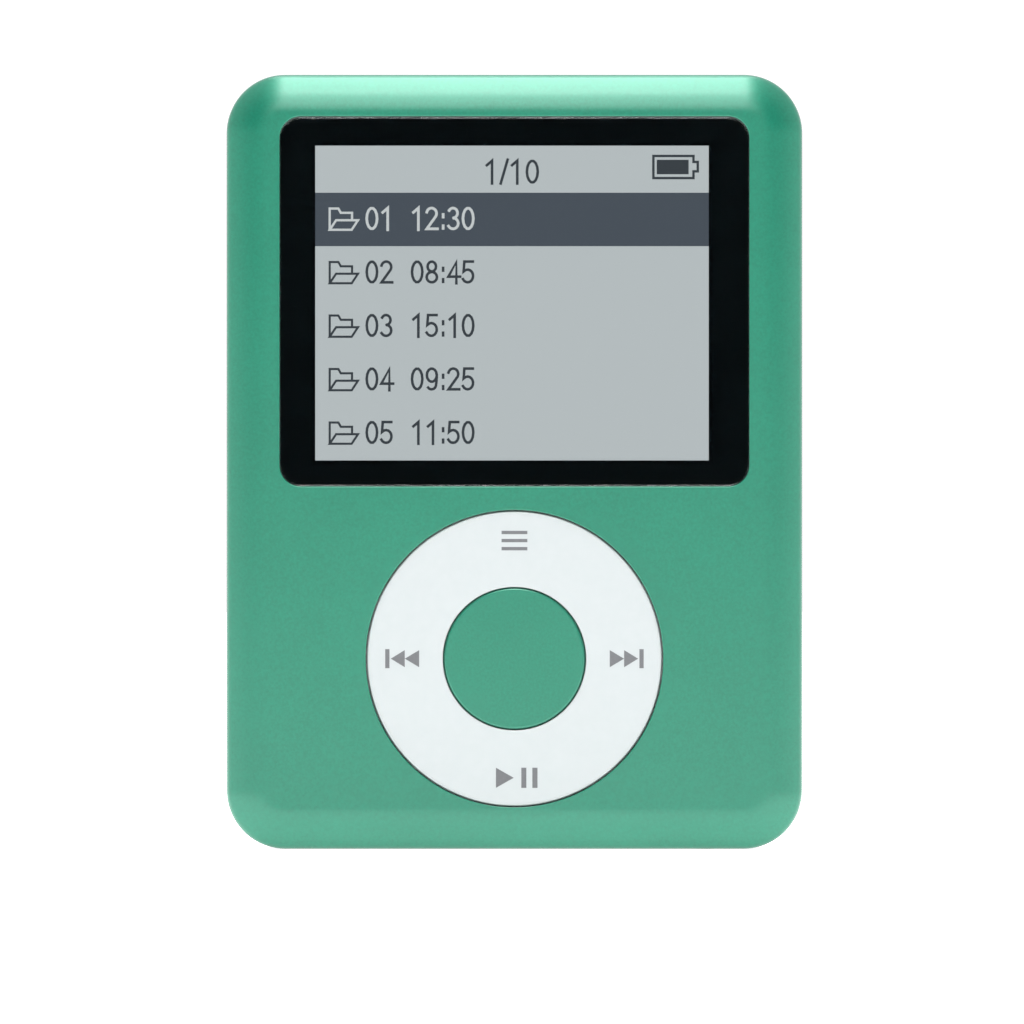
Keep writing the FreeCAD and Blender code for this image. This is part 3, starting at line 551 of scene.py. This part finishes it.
def flatShape(plan, points, depth):
    plan.fill(plan.loop([(x, depth, z) for x, z in points]))


def rectangle(left, right, low, high):
    return [(left, low), (right, low), (right, high), (left, high)]


def arcPoints(x, z, wide, tall, start, end, steps=14):
    # part of an oval, in degrees anticlockwise from its right side
    turns = [math.radians(start + (end - start) * i / steps) for i in range(steps + 1)]
    return [(x + wide * math.cos(turn), z + tall * math.sin(turn)) for turn in turns]


# the strokes of each sign, and how far the next one stands, in parts of its height
numerals = {
    "0": [arcPoints(0.28, 0.48, 0.22, 0.44, 0, 360)],
    "1": [[(0.12, 0.74), (0.33, 0.92), (0.33, 0.0)]],
    "2": [arcPoints(0.27, 0.69, 0.21, 0.23, 165, -30) + [(0.07, 0.04), (0.52, 0.04)]],
    "3": [arcPoints(0.26, 0.71, 0.19, 0.21, 150, -80), arcPoints(0.26, 0.27, 0.22, 0.23, 80, -150)],
    "4": [[(0.4, 0.0), (0.4, 0.9), (0.06, 0.28), (0.56, 0.28)]],
    "5": [[(0.48, 0.92), (0.12, 0.92), (0.09, 0.5)] + arcPoints(0.26, 0.31, 0.23, 0.27, 125, -150)],
    "8": [arcPoints(0.28, 0.71, 0.18, 0.21, 0, 360), arcPoints(0.28, 0.26, 0.22, 0.22, 0, 360)],
    "9": [arcPoints(0.28, 0.64, 0.21, 0.28, 0, 360),
          [(0.49, 0.62), (0.47, 0.3)] + arcPoints(0.27, 0.24, 0.19, 0.2, 0, -140)],
    ":": [[(0.14, 0.06), (0.14, 0.17)], [(0.14, 0.54), (0.14, 0.65)]],
    "/": [[(0.02, 0.0), (0.3, 0.96)]], " ": []}
advance = {":": 0.3, "/": 0.36, " ": 0.34}


def drawNumerals(plan, signs, left, low, height, depth, width=0.24, pitch=0.62):
    # plain sans numerals drawn as strokes, flat on the display; width is in mm and pitch in parts
    # of the height
    for sign in signs:
        for stroke in numerals[sign]:
            closed = math.dist(stroke[0], stroke[-1]) < sameSpot
            points = [(left + x * height, low + z * height) for x, z in stroke]
            strokePath(plan, points[:-1] if closed else points, width, depth, closed)
        left += advance.get(sign, pitch) * height


def folderMark(plan, left, low, depth):
    # an open folder: its back sheet, then its front flap
    back = [(0.0, 0.0), (0.0, 1.89), (0.77, 1.89), (0.99, 1.51), (1.99, 1.51), (1.99, 0.85)]
    flap = [(0.0, 0.0), (0.57, 0.85), (2.52, 0.85), (1.96, 0.0)]
    strokePath(plan, [(left + x, low + z) for x, z in back], display["stroke"], depth)
    strokePath(plan, [(left + x, low + z) for x, z in flap], display["stroke"], depth, True)


def batteryMark(plan, depth):
    left, right, low, high = charge["left"], charge["right"], charge["low"], charge["high"]
    tip, tipLow, tipHigh = charge["tip"], charge["tipLow"], charge["tipHigh"]
    edge = [(left, low), (right, low), (right, tipLow), (tip, tipLow), (tip, tipHigh),
            (right, tipHigh), (right, high), (left, high)]
    strokePath(plan, edge, charge["line"], depth, True)
    flatShape(plan, rectangle(*charge["bar"]), depth)


def makePicture():
    left, right, high = display["left"], display["right"], display["high"]
    depth, layer, row = display["depth"], display["layer"], display["row"]
    rowTop = high - display["header"]
    ground, bar, dark, light = MeshPlan(), MeshPlan(), MeshPlan(), MeshPlan()
    flatShape(ground, rectangle(left, right, display["low"], high), depth)
    flatShape(bar, rectangle(left, right, rowTop - row, rowTop), depth - layer)
    drawNumerals(dark, pageCount["signs"], pageCount["left"], pageCount["low"],
                 pageCount["height"], depth - layer, pitch=pageCount["pitch"])
    batteryMark(dark, depth - layer)
    for line, label in enumerate(labels):
        # the first line is light and lies on the dark bar
        plan, over = (light, depth - 2 * layer) if line == 0 else (dark, depth - layer)
        low = display["firstLow"] - line * row
        folderMark(plan, display["iconX"], low, over)
        drawNumerals(plan, label, display["labelX"], low, display["capHeight"], over)
    for name, plan, hexText in (("lcd_ground", ground, display["ground"]),
                                ("lcd_bar", bar, display["bar"]),
                                ("lcd_dark_marks", dark, display["dark"]),
                                ("lcd_light_marks", light, display["light"])):
        made = plan.piece(name, litGlass(name.replace("_", " "), hexText, display["glow"]))


makeWindow()
makePicture()
print("window and picture made")


# control wheel and centre button

ring = {"inner": 6.37, "flange": 13.75, "flangeFront": 1.2, "back": 1.6, "counterbore": 7.5,
        "boreDepth": 1.05, "outerRound": 0.16, "innerRound": 0.12, "steps": 160}
button = {"radius": 6.25, "flange": 7.2, "flangeFront": 1.35, "flangeBack": 1.65, "post": 1.0,
          "postEnd": 2.92, "round": 0.14, "steps": 128}


def lathe(plan, profile, steps, closed):
    # turns (radius, depth) pairs round the wheel's middle
    loops = [plan.loop(wheelLoop(radius, depth, steps)) for radius, depth in profile]
    plan.join(loops + ([loops[0]] if closed else []))
    return loops


def makeRing():
    plan = MeshPlan()
    top, outer, bore = wheel["top"], wheel["radius"], ring["inner"]
    profile = [(bore + size, top + deep)
               for size, deep in reversed(quarterRound(ring["innerRound"]))]
    profile += [(outer - size, top + deep) for size, deep in quarterRound(ring["outerRound"])]
    profile += [(outer, ring["flangeFront"]), (ring["flange"], ring["flangeFront"]),
                (ring["flange"], ring["back"]), (ring["counterbore"], ring["back"]),
                (ring["counterbore"], ring["boreDepth"]), (bore, ring["boreDepth"])]
    lathe(plan, profile, ring["steps"], True)
    made = plan.piece("click_ring", whiteGloss, "wheel_key", crisp=40, weighted=True)
    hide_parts("nav_ring")


def makeButton():
    plan = MeshPlan()
    top, radius = wheel["top"], button["radius"]
    profile = [(radius - button["round"] - shell["flatBand"], top)]
    profile += [(radius - size, top + deep) for size, deep in quarterRound(button["round"])]
    profile += [(radius, button["flangeFront"]), (button["flange"], button["flangeFront"]),
                (button["flange"], button["flangeBack"]), (button["post"], button["flangeBack"]),
                (button["post"], button["postEnd"])]
    loops = lathe(plan, profile, button["steps"], False)
    plan.fill(loops[0])
    plan.fill(loops[-1])
    made = plan.piece("select_key", aluminium, "select_button", crisp=40, weighted=True)
    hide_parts("center_button")


# places from the wheel's middle
wheelPrint = {"lift": 0.006, "symbolHalf": 0.85, "bar": (11.11, 11.49), "arrowShare": 0.9,
              "arrows": ((8.47, 9.75), (9.75, 11.0)), "playZ": -10.59, "playHalf": 0.9,
              "play": (-1.65, -0.06), "pause": ((0.61, 1.06), (1.59, 2.05)), "menuZ": 10.5,
              "menuHalf": 1.15, "menuPitch": 0.72, "menuLine": 0.3}


def makeWheelPrint():
    # the plain transport symbols, and three lines for the menu at the top
    plan = MeshPlan()
    depth, midZ = wheel["top"] - wheelPrint["lift"], wheel["middle"][1]
    half = wheelPrint["symbolHalf"]
    arrowHalf = half * wheelPrint["arrowShare"]
    for side in (-1, 1):
        near, far = wheelPrint["bar"]
        flatShape(plan, rectangle(*sorted((side * near, side * far)), midZ - half, midZ + half),
                  depth)
        for base, tip in wheelPrint["arrows"]:
            flatShape(plan, [(side * base, midZ - arrowHalf), (side * tip, midZ),
                             (side * base, midZ + arrowHalf)], depth)
    playMiddle, (base, tip) = midZ + wheelPrint["playZ"], wheelPrint["play"]
    low, high = playMiddle - wheelPrint["playHalf"], playMiddle + wheelPrint["playHalf"]
    flatShape(plan, [(base, low), (tip, playMiddle), (base, high)], depth)
    for near, far in wheelPrint["pause"]:
        flatShape(plan, rectangle(near, far, low, high), depth)
    reach, lineHalf = wheelPrint["menuHalf"], wheelPrint["menuLine"] / 2
    for step in (-1, 0, 1):
        line = midZ + wheelPrint["menuZ"] + step * wheelPrint["menuPitch"]
        flatShape(plan, rectangle(-reach, reach, line - lineHalf, line + lineHalf), depth)
    made = plan.piece("wheel_print", wheelInk, "wheel_key")


makeRing()
makeButton()
makeWheelPrint()
print("wheel made")


# finishes of the pieces that keep their CAD shape

tapeFoam = softSheet("white acrylic foam tape", "c9c9c4", "dadad5")
darkFoam = softSheet("black cellular foam", "15161a", "24262a", 0.85, 0.18)
silicone = softSheet("grey silicone rubber", "8f9496", "a3a8aa", 0.55, 0.5)
polyesterFilm = softSheet("clear polyester film", "c2cbcc", "d2dadb", 0.3, 0.8)
springSteel = rolledMetal("nickel plated spring steel", "b4b3ae", "cdccc6", 0.24, 0.15)
nickel = rolledMetal("bright nickel strip", "b9b6ab", "d0cdc2", 0.3, 0.2)
screwSteel = rolledMetal("black zinc screw steel", "2a2b2e", "3c3d41", 0.38, 0.15)
plate = rolledMetal("tin plated socket steel", "a9aaab", "c6c7c8", 0.26, 0.18, (1.0, 1.0, 0.08))
gold = rolledMetal("gold flashed contact bronze", "c99a3a", "e0b457", 0.22, 0.1)
canSteel = rolledMetal("crystal can steel", "a5a6a8", "bcbdbf", 0.3, 0.2)
pouch = rolledMetal("aluminium laminate pouch", "a3a7aa", "bcc0c3", 0.42, 0.5, (1.0, 1.0, 1.0))
boardLacquer = copperedBoard("green solder mask", "0d3f2b", "175a3d")
cellLacquer = copperedBoard("small cell board mask", "10432f", "1c6044", 0.7)
polyimide = copperedBoard("amber polyimide flex", "9a5b16", "b87a2a", 0.5)
epoxy = sparkedMoulding("black epoxy chip body", "121314", "1d1e20", 0.55, 0.1)
ceramic = sparkedMoulding("tan ceramic", "8a6a48", "a3825c", 0.5, 0.2)
phosphor = sparkedMoulding("yellow phosphor lamp", "d8c040", "ecd65c", 0.5, 0.15)
silicon = polishedMoulding("bare silicon", "1a2226", "27323a", 0.12, 0.6)
sheetGlass = polishedMoulding("display glass", "3a4145", "485056", 0.1, 2.0)
guide = polishedMoulding("acrylic light guide", "dfe8ea", "eef4f5", 0.25, 0.5)

finishes = {
    "mid_frame": nylon, "window_tape": tapeFoam, "window_mask": blackInk,
    "display_cushion": darkFoam, "display_front_glass": sheetGlass,
    "display_rear_glass": sheetGlass, "display_driver": silicon, "display_flex": polyimide,
    "light_guide": guide, "backlight_leds": phosphor, "display_tray": whiteMoulding,
    "ring_pad": silicone, "dome_sheet": polyesterFilm, "ring_domes": springSteel,
    "center_dome": springSteel, "main_board": boardLacquer, "frame_screws": screwSteel,
    "processor": epoxy, "flash_chip": epoxy, "crystal": canSteel, "charge_chip": epoxy,
    "board_parts": ceramic, "battery": pouch, "battery_tape": tapeFoam,
    "battery_board": cellLacquer, "battery_tab_plus": nickel, "battery_tab_minus": nickel,
    "hold_knob": knobGloss, "hold_lever": nylon, "hold_switch": blackMoulding,
    "usb_shell": plate, "usb_tongue": blackMoulding, "usb_contacts": gold,
    "headphone_jack": blackMoulding, "jack_contacts": gold}

for node, finish in finishes.items():
    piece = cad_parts[node]
    piece.data.materials.clear()
    piece.data.materials.append(finish)
print("inner finishes set")


# studio: fibre, lens, sensor, aim and frameWidth in mm, the other sizes in metres, lamps in watts

studio = {"floor": 3.0, "floorGlow": 0.88, "fibre": 1.5, "lens": 250.0, "sensor": 36.0,
          "near": 0.01, "far": 20.0, "aim": (-0.218, 30.07), "frameWidth": 91.02,
          "lampAim": (0.0, 0.0, 0.035)}
softboxes = (("high softbox", (0.0, -0.25, 0.56), (0.16, 0.5), 2.4),
             ("low softbox", (0.0, -0.5, 0.33), (0.16, 0.3), 0.85),
             ("overhead softbox", (0.0, 0.1, 0.6), (0.3, 0.3), 0.8))
# the room's light by direction, -1 being straight out from the front face: where each band starts
# and ends, and its light at these two
room = {"card": (-0.98, -0.86, 0.01, 0.1), "walls": (-0.85, -0.35, 0.0, 1.05)}


def makeFloor():
    material, tree, shader, spot = startFinish("matt white paper", {
        "Roughness": 0.9, "Emission Color": linearColour("ffffff"),
        "Emission Strength": studio["floorGlow"]})
    fibre = addNode(tree, "ShaderNodeTexNoise", {"Scale": perMetre(studio["fibre"]),
                    "Detail": 4.0}, {"Vector": spot})
    tones = addNode(tree, "ShaderNodeMix", {"A": linearColour("f4f4f4"),
                    "B": linearColour("fafafa")}, {"Factor": fibre.outputs["Fac"]},
                    data_type="RGBA")
    feed(tree, shader, {"Base Color": tones.outputs["Result"]})
    mesh = bpy.data.meshes.new("floor")
    half = studio["floor"] / 2
    mesh.from_pydata([(-half, -half, 0), (half, -half, 0), (half, half, 0), (-half, half, 0)],
                     [], [(0, 1, 2, 3)])
    mesh.materials.append(material)
    floor = bpy.data.objects.new("floor", mesh)
    bpy.context.scene.collection.objects.link(floor)


def makeRoom():
    # a bright room with a dark card far in front, which keeps the window's gloss black
    world = bpy.data.worlds.new("white room with a dark card")
    world.use_nodes = True
    bpy.context.scene.world = world
    tree = world.node_tree
    tree.nodes.clear()
    way = addNode(tree, "ShaderNodeTexCoord").outputs["Generated"]
    parts = addNode(tree, "ShaderNodeSeparateXYZ", links={"Vector": way})
    ends = ("From Min", "From Max", "To Min", "To Max")
    card = addNode(tree, "ShaderNodeMapRange", dict(zip(ends, room["card"])),
                   {"Value": parts.outputs["Y"]}, interpolation_type="SMOOTHSTEP")
    walls = addNode(tree, "ShaderNodeMapRange", dict(zip(ends, room["walls"])),
                    {"Value": parts.outputs["Y"]})
    total = addNode(tree, "ShaderNodeMath", links={0: card.outputs["Result"],
                                                   1: walls.outputs["Result"]})
    glow = addNode(tree, "ShaderNodeBackground", {"Color": (1.0, 1.0, 1.0, 1.0)},
                   {"Strength": total.outputs["Value"]})
    addNode(tree, "ShaderNodeOutputWorld", links={"Surface": glow.outputs["Background"]})


def makeLamps():
    for name, spotAt, size, watts in softboxes:
        lamp = bpy.data.lights.new(name, "AREA")
        lamp.shape, lamp.size, lamp.size_y, lamp.energy = "RECTANGLE", size[0], size[1], watts
        holder = bpy.data.objects.new(name, lamp)
        holder.location = spotAt
        aim = Vector(studio["lampAim"]) - Vector(spotAt)
        holder.rotation_euler = aim.to_track_quat("-Z", "Y").to_euler()
        bpy.context.scene.collection.objects.link(holder)


def makeCamera():
    # straight in front, as far off as the lens needs to take in frameWidth at the front face
    scene = bpy.context.scene
    lens = bpy.data.cameras.new("long lens")
    lens.lens, lens.sensor_width = studio["lens"], studio["sensor"]
    lens.clip_start, lens.clip_end = studio["near"], studio["far"]
    camera = bpy.data.objects.new("long lens", lens)
    away = studio["frameWidth"] * mm * studio["lens"] / studio["sensor"] + frontDepth * mm
    camera.location = (studio["aim"][0] * mm, -away, studio["aim"][1] * mm)
    camera.rotation_euler = (math.pi / 2, 0.0, 0.0)
    scene.collection.objects.link(camera)
    scene.camera = camera


bpy.context.scene.view_settings.view_transform = "Standard"
makeFloor()
makeRoom()
makeLamps()
makeCamera()
print("studio made")
